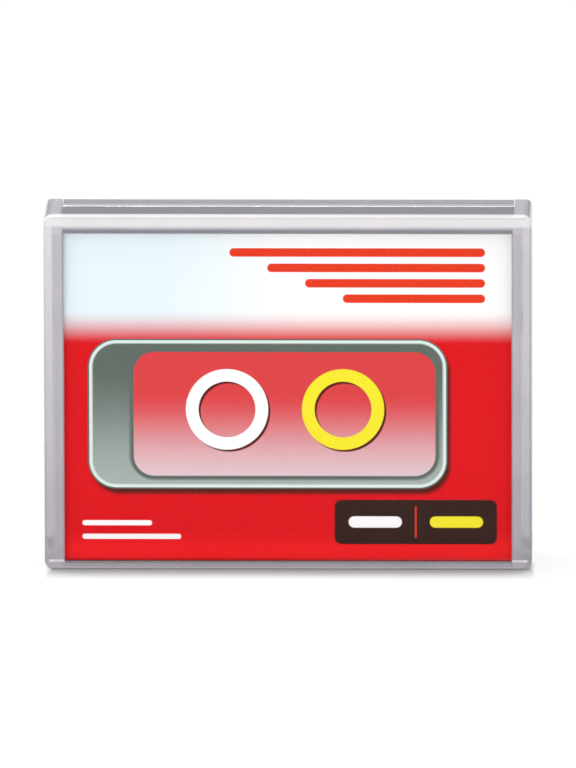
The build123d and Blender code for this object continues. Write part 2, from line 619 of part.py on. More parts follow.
def door_spring():
    """Torsion spring round the door's left pin, with a leg that bears on the corner post."""
    pitch = SPRING_WIRE * 1.5
    length = pitch * DOOR_SPRING_TURNS
    inner = REEL_HALF - RUN - length - SPRING_WIRE
    leg = CART_L - SCREW_FRONT - BOSS_R - RUN - DOOR_PIVOT_V
    coil = Rot(0, -90, 0) * coil_spring(DOOR_SPRING_R, pitch, length, leg)
    return Pos(-inner, DOOR_PIVOT_V, DOOR_PIVOT_W) * coil


def coil_spring(radius, pitch, length, leg):
    """Square wire wound about the upright axis, run out into a straight leg."""
    path = Helix(pitch=pitch, height=length, radius=radius)
    wire = Rectangle(SPRING_WIRE, SPRING_WIRE)
    first = Plane(origin=path @ 0, x_dir=(1, 0, 0), z_dir=path % 0) * wire
    last = Plane(origin=path @ 1, x_dir=(1, 0, 0), z_dir=path % 1) * wire
    return sweep(first, path=path, is_frenet=True) + extrude(last, leg)


def slider():
    """C-shaped slider over the lower shell; its holes line up with the hubs when it is drawn back."""
    front = SHELL_FRONT - RUN
    plate = block((-CART_HALF, CART_HALF), (SLIDER_BACK, front), (0, SLIDER_FLANGE))
    long_edges = plate.faces().sort_by(Axis.Z)[0].edges().filter_by(Axis.Y)
    plate = fillet(long_edges, CART_EDGE)
    plate -= wide(CART_HALF - SLIDER_T, (0, CART_L), (SLIDER_T, CART_T))
    plate -= both(lock_cut())
    for u in (-HUB_U, HUB_U):
        plate -= rod(u, HUB_V + SLIDER_TRAVEL, -OVER, SLIDER_T + OVER, SLIDER_HOLE_R)
    return plate


def lock_cut():
    """U-shaped cut that leaves a springy lock tongue in the slider."""
    middle = MOUTH_HALF + LOCK_GAP + LOCK_W / 2
    outer = Pos(middle, MOUTH_BACK) * Rectangle(LOCK_W, LOCK_L)
    tongue = Pos(middle, MOUTH_BACK + LOCK_CUT) * Rectangle(LOCK_W - LOCK_CUT * 2, LOCK_L)
    return Pos(0, 0, -OVER) * extrude(outer - tongue, SLIDER_T + OVER * 2)


def hub_teeth():
    """Ring of teeth at the top of a hub, for the brake."""
    ring = Circle(HUB_R)
    step = 360 / HUB_TEETH
    half = HUB_R * sin(step / 4 * pi / 180)
    tooth = Polygon((HUB_R - TOOTH_H, -half), (HUB_R + TOOTH_H, -half / 2), (HUB_R + TOOTH_H, half / 2),
                    (HUB_R - TOOTH_H, half), align=None)
    for index in range(HUB_TEETH):
        ring += Rot(0, 0, index * step) * tooth
    return Pos(0, 0, TOOTH_W0) * extrude(ring, TOOTH_W1 - TOOTH_W0)


def clamp_sector(inner, outer, half_angle):
    """Sector of a ring, pointing to +x."""
    ring = Circle(outer) - Circle(inner)
    reach = outer * 2
    spread = reach * sin(half_angle * pi / 180) / cos(half_angle * pi / 180)
    wedge = Polygon((0, 0), (reach, -spread), (reach, spread), align=None)
    return ring & wedge


def hub():
    """Hub about its own axis: drive socket with lugs, clamp notch and toothed rim."""
    body = rod(0, 0, HUB_BOTTOM, TOOTH_W0, HUB_R) + hub_teeth()
    body += rod(0, 0, HUB_BOSS_W, HUB_BOTTOM, HUB_BOSS_R)
    body -= rod(0, 0, 0, HUB_BORE_TOP, HUB_BORE_R)
    body -= rod(0, 0, SHELL_CEILING - HUB_POST_L - RUN, TOOTH_W1 + OVER, HUB_POST_R + RUN)
    reach = (HUB_BORE_R - LUG_H, HUB_BORE_R + LUG_H / 2)
    lug = block(reach, (-LUG_W / 2, LUG_W / 2), (HUB_BOSS_W, HUB_BORE_TOP))
    for index in range(HUB_LUGS):
        body += Rot(0, 0, 360 / HUB_LUGS * (index + 0.5)) * lug
    notch = clamp_sector(HUB_R - CLAMP_DEPTH, HUB_R + OVER, CLAMP_HALF_ANGLE)
    return body - Pos(0, 0, TAPE_LOW) * extrude(notch, TAPE_W)


def leader_clamp():
    """Clamp that holds the end of the leader in the hub's rim."""
    slack = CLAMP_HALF_ANGLE - 1
    sector = clamp_sector(HUB_R - CLAMP_DEPTH + PACK_SLIP, HUB_R, slack)
    return Pos(0, 0, TAPE_LOW + PACK_SLIP) * extrude(sector, TAPE_W - 2 * PACK_SLIP)


def tape_pack(radius):
    """The wound turns of tape as one ring."""
    ring = Circle(radius) - Circle(HUB_R + PACK_SLIP)
    return Pos(0, 0, TAPE_LOW) * extrude(ring, TAPE_W)


def tape_side(side, pack_r, lift):
    """Line of the tape from a pack round its guide pin to the middle, at a distance off both."""
    off_pack = pack_r + PACK_GAP + lift
    off_guide = GUIDE_R + PACK_SLIP + lift
    du, dv = GUIDE_U - HUB_U, GUIDE_V - HUB_V
    out = atan2(dv, du) - acos((off_pack - off_guide) / hypot(du, dv))
    leave = (side * (HUB_U + off_pack * cos(out)), HUB_V + off_pack * sin(out))
    touch = (side * (GUIDE_U + off_guide * cos(out)), GUIDE_V + off_guide * sin(out))
    half_way = (out + pi / 2) / 2
    bend = (side * (GUIDE_U + off_guide * cos(half_way)), GUIDE_V + off_guide * sin(half_way))
    over = (side * GUIDE_U, GUIDE_V + off_guide)
    lines = [Line(leave, touch), ThreePointArc(touch, bend, over), Line(over, (0, over[1]))]
    return lines, leave


def tape_span():
    """Free tape from pack to pack, across the mouth."""
    lines = []
    for side, pack_r in ((-1, SUPPLY_R), (1, TAKEUP_R)):
        near, near_end = tape_side(side, pack_r, 0)
        far, far_end = tape_side(side, pack_r, TAPE_T)
        lines += near + far + [Line(near_end, far_end)]
    face = make_face(Curve() + lines)
    return Pos(0, 0, TAPE_LOW) * extrude(face, TAPE_W)


def guide_pin():
    """Steel pin that turns the tape into the mouth."""
    return rod(0, 0, SHELL_FLOOR - GUIDE_SEAT + PACK_SLIP, CORNER_CEILING - GUIDE_GAP, GUIDE_R)


def slip_sheet(low, hub_hole):
    """Thin sheet beside the reels, open at the hubs and notched at the rear posts."""
    half = REEL_HALF - SHEET_EDGE
    back = REAR_WALL + RUN + TAB_LIP + SHEET_FRONT_GAP
    front = REEL_FRONT - SHEET_FRONT_GAP
    through = (low - OVER, low + OVER)
    sheet = wide(half, (back, front), (low, low + SHEET_T))
    for u in (-HUB_U, HUB_U):
        sheet -= rod(u, HUB_V, low - OVER, low + OVER, hub_hole)
    notch = BOSS_R + SHEET_HOLE
    return sheet - both(block((SCREW_U - notch, CART_HALF), (0, SCREW_REAR + notch), through))


def pawl_tip():
    """Tip of the right pawl, just clear of the hub's teeth."""
    angle = PAWL_ANGLE * pi / 180
    reach = HUB_R + TOOTH_H + BRAKE_CLEAR
    return HUB_U + reach * cos(angle), HUB_V + reach * sin(angle)


def brake_plate():
    """Sliding plate whose two pawls lock the hubs; drawn just clear of the teeth."""
    tip = pawl_tip()
    half = [
        (0, BRAKE_BACK), (BRAKE_HALF, BRAKE_BACK), (BRAKE_HALF, tip[1] - BRAKE_NECK),
        (tip[0], tip[1] - PAWL_W), tip, (BRAKE_HALF, tip[1] - PAWL_W / 2), (0, tip[1] - PAWL_W / 2),
    ]
    plate = extrude(Polygon(*half, align=None), TOOTH_W1 - TOOTH_W0)
    return Pos(0, 0, TOOTH_W0) * both(plate)


def brake_spring():
    """Short coil between the rear wall and the brake plate."""
    room = BRAKE_REAR_GAP - SPRING_WIRE - BRAKE_SPRING_LEG - 2 * RUN
    coil = coil_spring(BRAKE_SPRING_R, room / BRAKE_SPRING_TURNS, room, BRAKE_SPRING_LEG)
    middle = (TOOTH_W0 + TOOTH_W1) / 2
    return Pos(0, REAR_WALL + SPRING_WIRE / 2 + RUN, middle) * Rot(-90, 0, 0) * coil


def write_protect_tab():
    """Tab that slides in the rear wall, with a lip inside."""
    nub = block((TAB_U, TAB_U + TAB_W), (RUN * 2, REAR_WALL + RUN * 2), (TAB_LOW, TAB_LOW + TAB_H))
    lip_low = TAB_LOW - TAB_LIP / 2
    lip = block((TAB_U - TAB_LIP, TAB_U + TAB_W + TAB_LIP), (REAR_WALL + RUN, REAR_WALL + TAB_LIP),
                (lip_low, lip_low + TAB_H + TAB_LIP))
    return nub + lip


def shell_screws():
    """Four screws through the lower shell into the upper one."""
    low = SLIDER_SEAT + SCREW_SLACK
    screws = Part()
    for u, v in screw_places():
        screw = rod(u, v, low, low + SCREW_HEAD_T, SCREW_HEAD_R)
        screws += screw + shaft(u, v, low + SCREW_HEAD_T, SCREW_TOP, SCREW_R)
    return screws


def light_prism():
    """Clear prism beside the tape that turns the end-of-tape light."""
    outer = REEL_HALF - RUN
    back = MOUTH_BACK
    plan = Polygon((outer - PRISM_W, back), (outer, back), (outer, back + PRISM_W), align=None)
    return Pos(0, 0, SHELL_FLOOR) * extrude(plan, PRISM_H)


def flipped(shape):
    """Mirror image for the left side."""
    return mirror(shape, about=Plane.YZ)


def at_hub(side, shape):
    """A reel's piece on the left (-1) or right (1) hub centre."""
    return Pos(side * HUB_U, HUB_V, 0) * shape


def nodes():
    """Every piece in its place, by name."""
    case = {"front_cover": front_cover(), "rear_tray": rear_tray(), "inlay_card": inlay_card()}
    cartridge = {
        "lower_shell": lower_shell(),
        "upper_shell": upper_shell(),
        "window": window(),
        "main_label": main_label(),
        "edge_label": edge_label(),
        "front_door": front_door(),
        "door_spring": door_spring(),
        "slider": slider(),
        "supply_hub": at_hub(-1, hub()),
        "takeup_hub": at_hub(1, hub()),
        "supply_leader_clamp": at_hub(-1, leader_clamp()),
        "takeup_leader_clamp": at_hub(1, leader_clamp()),
        "supply_tape_pack": at_hub(-1, tape_pack(SUPPLY_R)),
        "takeup_tape_pack": at_hub(1, tape_pack(TAKEUP_R)),
        "tape_span": tape_span(),
        "guide_pin_left": Pos(-GUIDE_U, GUIDE_V, 0) * guide_pin(),
        "guide_pin_right": Pos(GUIDE_U, GUIDE_V, 0) * guide_pin(),
        "lower_slip_sheet": slip_sheet(SHEET_LOW, HUB_BOSS_R + SHEET_HOLE),
        "upper_slip_sheet": slip_sheet(SHEET_HIGH, HUB_R + TOOTH_H + SHEET_HOLE),
        "brake_plate": brake_plate(),
        "brake_spring": brake_spring(),
        "write_protect_tab": write_protect_tab(),
        "shell_screws": shell_screws(),
        "light_prism_left": flipped(light_prism()),
        "light_prism_right": light_prism(),
    }
    placed = {name: stood_up(shape) for name, shape in case.items()}
    placed.update({name: in_case(shape) for name, shape in cartridge.items()})
    return placed


os.makedirs("parts", exist_ok=True)
for name, shape in nodes().items():
    export_step(shape, "parts/" + name + ".step")
print("case", round(CASE_W, 3), round(CASE_D, 3), round(CASE_H, 3))
print("hinge y z", round(CASE_D / 2 - HINGE_W, 4), round(HINGE_V, 4))
print("hub z", round(SEAT_V + HUB_V, 4), "pack radii", round(SUPPLY_R, 4), round(TAKEUP_R, 4))
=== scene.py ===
import math
from collections import namedtuple

import bpy
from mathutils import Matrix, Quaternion, Vector


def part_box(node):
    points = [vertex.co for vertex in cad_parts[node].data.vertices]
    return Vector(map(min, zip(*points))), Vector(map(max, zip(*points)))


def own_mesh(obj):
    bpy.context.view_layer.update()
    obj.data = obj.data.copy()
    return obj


# Looks of a 4 mm data tape cartridge in its clear hinged case, which stands on its spine edge.
# Everything is in metres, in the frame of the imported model: front panel to -Y, opening edge up.
# A pair of places is where a change starts and where it is complete, or the two ends of a strip.

MM = 0.001

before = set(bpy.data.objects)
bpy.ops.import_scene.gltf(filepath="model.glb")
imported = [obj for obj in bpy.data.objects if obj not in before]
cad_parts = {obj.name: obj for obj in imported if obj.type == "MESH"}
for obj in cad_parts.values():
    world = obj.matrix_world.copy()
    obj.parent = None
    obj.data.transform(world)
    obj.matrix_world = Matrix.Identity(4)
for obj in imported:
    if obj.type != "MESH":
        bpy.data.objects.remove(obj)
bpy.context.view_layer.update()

# A rounded box in the card's plane: middle and half size as (X, Z), and the radius of its corners
Box = namedtuple("Box", "middle half radius")

# Front cover
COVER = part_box("front_cover")
COVER_LEFT = COVER[0][0]
COVER_RIGHT = COVER[1][0]
COVER_FRONT = COVER[0][1]
COVER_TOP = COVER[1][2]
SIDE_WALL = 1.5 * MM
SPINE_WALL = 1.2 * MM
ARM_WIDTH = 3.0 * MM
LIP_DEPTH = 7.7 * MM
INNER_WALL = COVER_RIGHT - SIDE_WALL
FRONT_SKIN = (COVER_FRONT + 1.3 * MM, COVER_FRONT + 1.0 * MM)
TOP_SKIN = (COVER_TOP - 0.35 * MM, COVER_TOP - 0.25 * MM)

# Card behind the front panel, and the part of the panel through which it is seen
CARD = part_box("inlay_card")
CARD_FRONT = CARD[0][1]
CARD_FOOT = CARD[0][2]
CARD_HALF = (CARD[1][0] - CARD[0][0]) / 2
PANE_TOP = CARD[1][2] + 0.15 * MM
PANE_MIDDLE = (0.0, (PANE_TOP + SPINE_WALL) / 2)
PANE_HALF_H = (PANE_TOP - SPINE_WALL) / 2
PANE = Box(PANE_MIDDLE, (CARD_HALF - 0.15 * MM, PANE_HALF_H), 0.1 * MM)
OPENING = Box(PANE_MIDDLE, (INNER_WALL, PANE_HALF_H), 0.4 * MM)

# Colours, linear
PLASTIC = (0.58, 0.555, 0.63)
PLASTIC_DARK = (0.52, 0.50, 0.57)
# Painted light in the front panel's rim, and painted shade along the card's edges
PLASTIC_LIT = (0.82, 0.80, 0.81)
PLASTIC_SHADE = (0.34, 0.33, 0.37)
# Painted shade on the top of the cover's lip and painted light on its arms
LIP_TOP_SHADE = (0.335, 0.323, 0.37)
ARM_TOP_LIGHT = (0.70, 0.68, 0.76)
TOP_FRONT = (0.70, 0.68, 0.75)
TOP_BACK = (0.56, 0.545, 0.60)
# Painted shade at the tray's step and a painted highlight along its front edge
STEP_SHADE_COLOUR = (0.27, 0.26, 0.29)
RIM_HIGHLIGHT_COLOUR = (0.97, 0.96, 0.98)
CARD_WHITE = (0.97, 0.97, 0.97)
CARD_BLUISH = (0.79, 0.90, 0.94)
CARD_RED = (0.715, 0.005, 0.009)
# Painted light on the red near the card's foot, and painted shade and a painted highlight along its fold
CARD_RED_LIT_FOOT = (0.95, 0.012, 0.015)
FOLD_SHADE = (0.50, 0.010, 0.014)
FOLD_HIGHLIGHT = (0.95, 0.06, 0.06)
STRIPE_RED = (0.80, 0.045, 0.012)
SILVER_DARK = (0.11, 0.15, 0.13)
SILVER_MID = (0.12, 0.145, 0.125)
SILVER_PALE = (0.42, 0.48, 0.45)
SILVER_LIGHT = (0.72, 0.83, 0.80)
PANEL_PALE = (0.73, 0.60, 0.645)
PANEL_RED = (0.70, 0.055, 0.06)
PRINT_SHADOW = (0.10, 0.012, 0.008)
BADGE_BROWN = (0.035, 0.014, 0.010)
YELLOW = (0.90, 0.80, 0.03)
PAPER_GREY = (0.86, 0.85, 0.82)
PAPER_WHITE = (0.92, 0.91, 0.89)
LABEL_GREY = (0.80, 0.80, 0.78)
LABEL_WHITE = (0.88, 0.88, 0.86)
SHELL_BLACK = (0.030, 0.030, 0.033)
DOOR_BLACK = (0.024, 0.024, 0.027)
SLIDER_GREY = (0.16, 0.165, 0.18)
HUB_WHITE = (0.78, 0.78, 0.75)
BRAKE_WHITE = (0.70, 0.70, 0.64)
TAB_ORANGE = (0.60, 0.06, 0.015)
FILM_GREY = (0.12, 0.12, 0.125)
STEEL_GREY = (0.62, 0.62, 0.64)
TAPE_DARK = (0.022, 0.014, 0.011)
TAPE_LIGHT = (0.045, 0.03, 0.025)
WINDOW_TINT = (0.90, 0.92, 0.93)
FLOOR_GREY = (0.90, 0.90, 0.90)

# The span in which most values of a noise lie
NOISE_SPAN = (0.3, 0.7)

# Places of the colour sockets on Blender's mix node
MIX_FIRST = 6
MIX_SECOND = 7
MIX_COLOUR = 2


class Nodes:
    """Small helper that builds one material's node tree."""

    def __init__(self, name):
        self.material = bpy.data.materials.new(name)
        self.material.use_nodes = True
        self.tree = self.material.node_tree
        self.tree.nodes.clear()
        self.output = self.add("ShaderNodeOutputMaterial")

    def add(self, kind, **values):
        node = self.tree.nodes.new(kind)
        for key, value in values.items():
            setattr(node, key, value)
        return node

    def link(self, source, target):
        self.tree.links.new(source, target)

    def feed(self, socket, value):
        """A number, a colour or another node's output into a socket."""
        if isinstance(value, bpy.types.NodeSocket):
            self.link(value, socket)
        elif isinstance(value, tuple) and len(value) == 3 and socket.type == "RGBA":
            socket.default_value = (*value, 1.0)
        else:
            socket.default_value = value

    def maths(self, operation, *values):
        node = self.add("ShaderNodeMath", operation=operation)
        for socket, value in zip(node.inputs, values):
            self.feed(socket, value)
        return node.outputs[0]

    def plus(self, first, second):
        return self.maths("ADD", first, second)

    def minus(self, first, second):
        return self.maths("SUBTRACT", first, second)

    def times(self, first, *others):
        for other in others:
            first = self.maths("MULTIPLY", first, other)
        return first

    def largest(self, first, *others):
        for other in others:
            first = self.maths("MAXIMUM", first, other)
        return first

    def size_of(self, value):
        """The value without its sign."""
        return self.maths("ABSOLUTE", value)

    def ramp(self, value, start, end, smooth=True):
        """0 at start and 1 at end, whichever of the two is higher."""
        node = self.add("ShaderNodeMapRange")
        node.interpolation_type = "SMOOTHSTEP" if smooth else "LINEAR"
        for socket, given in zip(node.inputs, (value, start, end, 0.0, 1.0)):
            self.feed(socket, given)
        return node.outputs[0]

    def between(self, value, low, high, soft):
        """1 from low to high, 0 outside, with soft ends."""
        above = self.ramp(value, low - soft, low + soft)
        below = self.ramp(value, high + soft, high - soft)
        return self.times(above, below)

    def mix(self, factor, first, second):
        node = self.add("ShaderNodeMix", data_type="RGBA")
        self.feed(node.inputs[0], factor)
        self.feed(node.inputs[MIX_FIRST], first)
        self.feed(node.inputs[MIX_SECOND], second)
        return node.outputs[MIX_COLOUR]

    def places(self):
        """X, Y and Z of the point in the model's own frame."""
        coords = self.add("ShaderNodeTexCoord").outputs["Object"]
        parts = self.add("ShaderNodeSeparateXYZ")
        self.link(coords, parts.inputs[0])
        return parts.outputs[0], parts.outputs[1], parts.outputs[2]

    def length(self, first, second):
        """Length of the flat vector with these two sides."""
        joined = self.add("ShaderNodeCombineXYZ")
        self.feed(joined.inputs[0], first)
        self.feed(joined.inputs[1], second)
        node = self.add("ShaderNodeVectorMath", operation="LENGTH")
        self.link(joined.outputs[0], node.inputs[0])
        return node.outputs["Value"]

    def noise(self, scale, detail=3.0):
        """Noise in the model's own frame; the scale is in features per metre."""
        coords = self.add("ShaderNodeTexCoord").outputs["Object"]
        node = self.add("ShaderNodeTexNoise")
        self.link(coords, node.inputs["Vector"])
        node.inputs["Scale"].default_value = scale
        node.inputs["Detail"].default_value = detail
        return node.outputs[0]

    def bump(self, height, distance, strength):
        node = self.add("ShaderNodeBump")
        node.inputs["Strength"].default_value = strength
        node.inputs["Distance"].default_value = distance
        self.link(height, node.inputs["Height"])
        return node.outputs[0]

    def principled(self, **values):
        node = self.add("ShaderNodeBsdfPrincipled")
        for name, value in values.items():
            self.feed(node.inputs[name.replace("_", " ")], value)
        return node

    def finish(self, shader):
        self.link(shader.outputs[0], self.output.inputs["Surface"])
        return self.material


def rounded_box(n, x, z, box):
    """Distance outside a rounded box, negative inside."""
    dx = n.minus(n.size_of(n.minus(x, box.middle[0])), box.half[0] - box.radius)
    dz = n.minus(n.size_of(n.minus(z, box.middle[1])), box.half[1] - box.radius)
    outside = n.length(n.largest(dx, 0.0), n.largest(dz, 0.0))
    inside = n.maths("MINIMUM", n.largest(dx, dz), 0.0)
    return n.minus(n.plus(outside, inside), box.radius)


def ring(n, x, z, middle, radius, half_width):
    """Distance outside a flat ring, negative inside its band."""
    reach = n.length(n.minus(x, middle[0]), n.minus(z, middle[1]))
    return n.minus(n.size_of(n.minus(reach, radius)), half_width)


# Case plastic: how clear it is in its body and at its rim where light is painted, and how rough its surface
# is
BODY_CLEAR = 0.5
RIM_CLEAR = 0.1
PLASTIC_IOR = 1.49
PLASTIC_ROUGH = 0.07
PLASTIC_ROUGH_SWING = 0.10


def case_plastic(name, tint_of, lit_of=None, alpha_of=None):
    """Clear polystyrene with a faint grey-violet tint, slightly rippled; painted light and shade are laid
    into the tint by zone.
    """
    n = Nodes(name)
    x, y, z = n.places()
    flow = n.ramp(n.noise(scale=90.0, detail=2.0), *NOISE_SPAN)
    ripple = n.noise(scale=420.0, detail=2.0)
    tint = tint_of(n, x, y, z, n.mix(flow, PLASTIC_DARK, PLASTIC))
    clear = BODY_CLEAR
    if lit_of:
        # Painted light: where the rim is lit, the tint turns pale and the plastic less clear
        share = lit_of(n, x, y, z)
        tint = n.mix(share, tint, PLASTIC_LIT)
        clear = n.minus(BODY_CLEAR, n.times(share, BODY_CLEAR - RIM_CLEAR))
    alpha = alpha_of(n, x, y, z) if alpha_of else 1.0
    return n.finish(n.principled(
        Base_Color=tint,
        IOR=PLASTIC_IOR,
        Alpha=alpha,
        Transmission_Weight=clear,
        Roughness=n.plus(PLASTIC_ROUGH, n.times(ripple, PLASTIC_ROUGH_SWING)),
        Normal=n.bump(ripple, distance=0.01 * MM, strength=0.15),
    ))


# Top wall of the tray, from its back edge to its front edge at the end of the cover's lip
TRAY_EDGE = COVER_FRONT + LIP_DEPTH
STEP_EDGE = 3.4 * MM
STEP = (STEP_EDGE - 0.3 * MM, STEP_EDGE + 0.3 * MM)
STEP_SHADE_SPAN = (STEP_EDGE - 0.5 * MM, STEP_EDGE + 0.7 * MM)
STEP_SHADE_SOFT = 0.4 * MM
RIM = (TRAY_EDGE + 1.2 * MM, TRAY_EDGE + 0.6 * MM)


def tray_tint(n, x, y, z, tint):
    """The tray's top wall is paler in front of its step, with painted shade at the step and a painted
    highlight at its front edge.
    """
    strip = n.mix(n.ramp(y, *STEP), TOP_FRONT, TOP_BACK)
    # Painted shade in a strip at the step
    strip = n.mix(n.between(y, *STEP_SHADE_SPAN, STEP_SHADE_SOFT), strip, STEP_SHADE_COLOUR)
    # Painted highlight along the front edge
    strip = n.mix(n.ramp(y, *RIM), strip, RIM_HIGHLIGHT_COLOUR)
    return n.mix(n.ramp(z, *TOP_SKIN), tint, strip)


# Painted shade in the front panel along the card's upper and lower edge, and painted shade on the lip's top
# with its arms painted lighter
OVER_CARD = (PANE_TOP - 0.2 * MM, PANE_TOP + 0.7 * MM)
OVER_CARD_SOFT = 0.25 * MM
UNDER_CARD = (SPINE_WALL - 0.1 * MM, SPINE_WALL + 0.1 * MM)
UNDER_CARD_SOFT = 0.1 * MM
UNDER_CARD_SHARE = 0.5
CARD_SIDE = (CARD_HALF + 0.2 * MM, CARD_HALF - 0.2 * MM)
ARM_EDGE = COVER_RIGHT - ARM_WIDTH
ARM = (ARM_EDGE - 0.2 * MM, ARM_EDGE + 0.2 * MM)


def cover_tint(n, x, y, z, tint):
    """The lip's top carries painted shade between its arms, which are painted lighter; the panel carries
    painted shade along the card's edges.
    """
    off_centre = n.size_of(x)
    over = n.between(z, *OVER_CARD, OVER_CARD_SOFT)
    under = n.times(n.between(z, *UNDER_CARD, UNDER_CARD_SOFT), UNDER_CARD_SHARE)
    shade = n.times(n.largest(over, under), n.ramp(off_centre, *CARD_SIDE), n.ramp(y, *FRONT_SKIN))
    tint = n.mix(shade, tint, PLASTIC_SHADE)
    lip = n.mix(n.ramp(off_centre, *ARM), LIP_TOP_SHADE, ARM_TOP_LIGHT)
    return n.mix(n.ramp(z, *TOP_SKIN), tint, lip)


# Painted light in the front panel's rim: where it lies and how strong it is. The sides and the margins
# beside the card gain painted light with height, and more so in the left half.
BAND = (PANE_TOP + 0.5 * MM, PANE_TOP + 1.5 * MM)
BEVEL = (COVER_TOP - 0.75 * MM, COVER_TOP - 0.5 * MM)
BEVEL_LOSS = 0.25
GAIN_HEIGHT = (0.15 * COVER_TOP, COVER_TOP)
GAIN = 0.5
LEFT_HALF = (1.0 * MM, -1.0 * MM)
LEFT_GAIN = 0.3
SIDE = (INNER_WALL - 0.1 * MM, INNER_WALL + 0.1 * MM)
SIDE_LEAST = 0.05
MARGIN = (CARD_HALF + 0.1 * MM, INNER_WALL)
MARGIN_SOFT = 0.15 * MM
MARGIN_LEAST = 0.22
MARGIN_GAIN = 0.45
CORNER_SIDE = (CARD_HALF - 0.3 * MM, CARD_HALF + 0.3 * MM)
CORNER_HEIGHT = (SPINE_WALL + 0.3 * MM, SPINE_WALL)
CORNER_LIT = 0.25
FOOT_SIDE = (CARD_HALF - 1.0 * MM, INNER_WALL + 0.8 * MM)
FOOT_SIDE_SOFT = 0.3 * MM
FOOT_HIGHLIGHT = (SPINE_WALL + 0.15 * MM, SPINE_WALL + 0.6 * MM)
FOOT_HIGHLIGHT_SOFT = 0.06 * MM
HEM_HIGHLIGHT = (0.22 * MM, 0.5 * MM)
HEM_HIGHLIGHT_SOFT = 0.1 * MM
HEM_LIT = 0.5


def cover_lit(n, x, y, z):
    """How much painted light the front's rim carries over the card, at the sides, at the corners and at the
    foot.
    """
    off_centre = n.size_of(x)
    left = n.maths("MULTIPLY_ADD", n.ramp(x, *LEFT_HALF), LEFT_GAIN, GAIN)
    gain = n.times(n.ramp(z, *GAIN_HEIGHT, smooth=False), left)
    band = n.minus(n.ramp(z, *BAND), n.times(n.ramp(z, *BEVEL), BEVEL_LOSS))
    side = n.times(n.ramp(off_centre, *SIDE), n.plus(gain, SIDE_LEAST))
    margin = n.maths("MULTIPLY_ADD", gain, MARGIN_GAIN, MARGIN_LEAST)
    margin = n.times(n.between(off_centre, *MARGIN, MARGIN_SOFT), margin)
    corner = n.times(n.ramp(off_centre, *CORNER_SIDE), CORNER_LIT, n.ramp(z, *CORNER_HEIGHT))
    # Painted highlights in a line at the foot and along the bottom edge
    foot = n.between(off_centre, *FOOT_SIDE, FOOT_SIDE_SOFT)
    foot = n.times(foot, n.between(z, *FOOT_HIGHLIGHT, FOOT_HIGHLIGHT_SOFT))
    hem = n.times(n.between(z, *HEM_HIGHLIGHT, HEM_HIGHLIGHT_SOFT), HEM_LIT)
    return n.times(n.largest(band, side, margin, corner, foot, hem), n.ramp(y, *FRONT_SKIN))


# Alpha of the front panel over the card, and how far it is from solid beside the card
PANE_ALPHA = 0.01
MARGIN_CLEAR = 0.15
OPENING_EDGE = (-0.2 * MM, 0.2 * MM)
PANE_EDGE = (-0.1 * MM, 0.1 * MM)
PANEL_BACK = (CARD_FRONT - 0.07 * MM, CARD_FRONT - 0.02 * MM)


def cover_alpha(n, x, y, z):
    """Clear over the card, a little clear beside it and solid everywhere else."""
    outside = n.times(n.ramp(rounded_box(n, x, z, OPENING), *OPENING_EDGE), MARGIN_CLEAR)
    margin = n.ramp(rounded_box(n, x, z, PANE), *PANE_EDGE)
    margin = n.times(margin, 1.0 - MARGIN_CLEAR - PANE_ALPHA)
    panel = n.plus(PANE_ALPHA, n.plus(outside, margin))
    return n.largest(panel, n.ramp(y, *PANEL_BACK))


INK_SOFT = 0.05 * MM


def inked(n, distance, under, over, soft=INK_SOFT):
    """One printed shape laid over the colour below it."""
    return n.mix(n.ramp(distance, soft, -soft), under, over)


# Ground of the card's print, with painted light and shade at its foot. X is from the card's middle and Z
# from the case's foot in the whole print.
BLUISH_SIDE = (-25.0 * MM, 5.0 * MM)
FADE = (39.4 * MM, 45.6 * MM)
RED_LOW = (CARD_FOOT + 1.0 * MM, CARD_FOOT + 6.0 * MM)
FOLD_EDGE = CARD_FOOT + 0.15 * MM
FOLD = (FOLD_EDGE, FOLD_EDGE - 0.15 * MM)
SHEEN = (FOLD_EDGE + 0.1 * MM, FOLD_EDGE + 0.35 * MM)
SHEEN_SOFT = 0.08 * MM
SHEEN_SIDE = (-10.0 * MM, 30.0 * MM)


def print_ground(n, x, z):
    """White, bluish at the left, above red, which is painted lighter near its foot to offset the shade there
    and has a painted highlight and a painted shade along the fold at its foot.
    """
    white = n.mix(n.ramp(x, *BLUISH_SIDE), CARD_BLUISH, CARD_WHITE)
    # Painted light lifts the red near the foot; the fold gets a painted highlight and painted shade
    red = n.mix(n.ramp(z, *RED_LOW), CARD_RED_LIT_FOOT, CARD_RED)
    sheen = n.times(n.between(z, *SHEEN, SHEEN_SOFT), n.ramp(x, *SHEEN_SIDE))
    red = n.mix(n.ramp(z, *FOLD), n.mix(sheen, red, FOLD_HIGHLIGHT), FOLD_SHADE)
    return n.mix(n.ramp(z, *FADE), red, white)


STRIPES = 4
STRIPE_PITCH = 2.7 * MM
STRIPE_TOP = 55.6 * MM
STRIPE_LEFT = -10.0 * MM
STRIPE_RIGHT = 34.0 * MM
STRIPE_STEP = 6.5 * MM
STRIPE_HALF_H = 0.75 * MM


def print_stripes(n, x, z, colour):
    """Stripes that start further to the right the lower they are."""
    for index in range(STRIPES):
        left = STRIPE_LEFT + index * STRIPE_STEP
        middle = ((left + STRIPE_RIGHT) / 2, STRIPE_TOP - index * STRIPE_PITCH)
        half = ((STRIPE_RIGHT - left) / 2, STRIPE_HALF_H)
        stripe = rounded_box(n, x, z, Box(middle, half, STRIPE_HALF_H))
        colour = inked(n, stripe, colour, STRIPE_RED)
    return colour


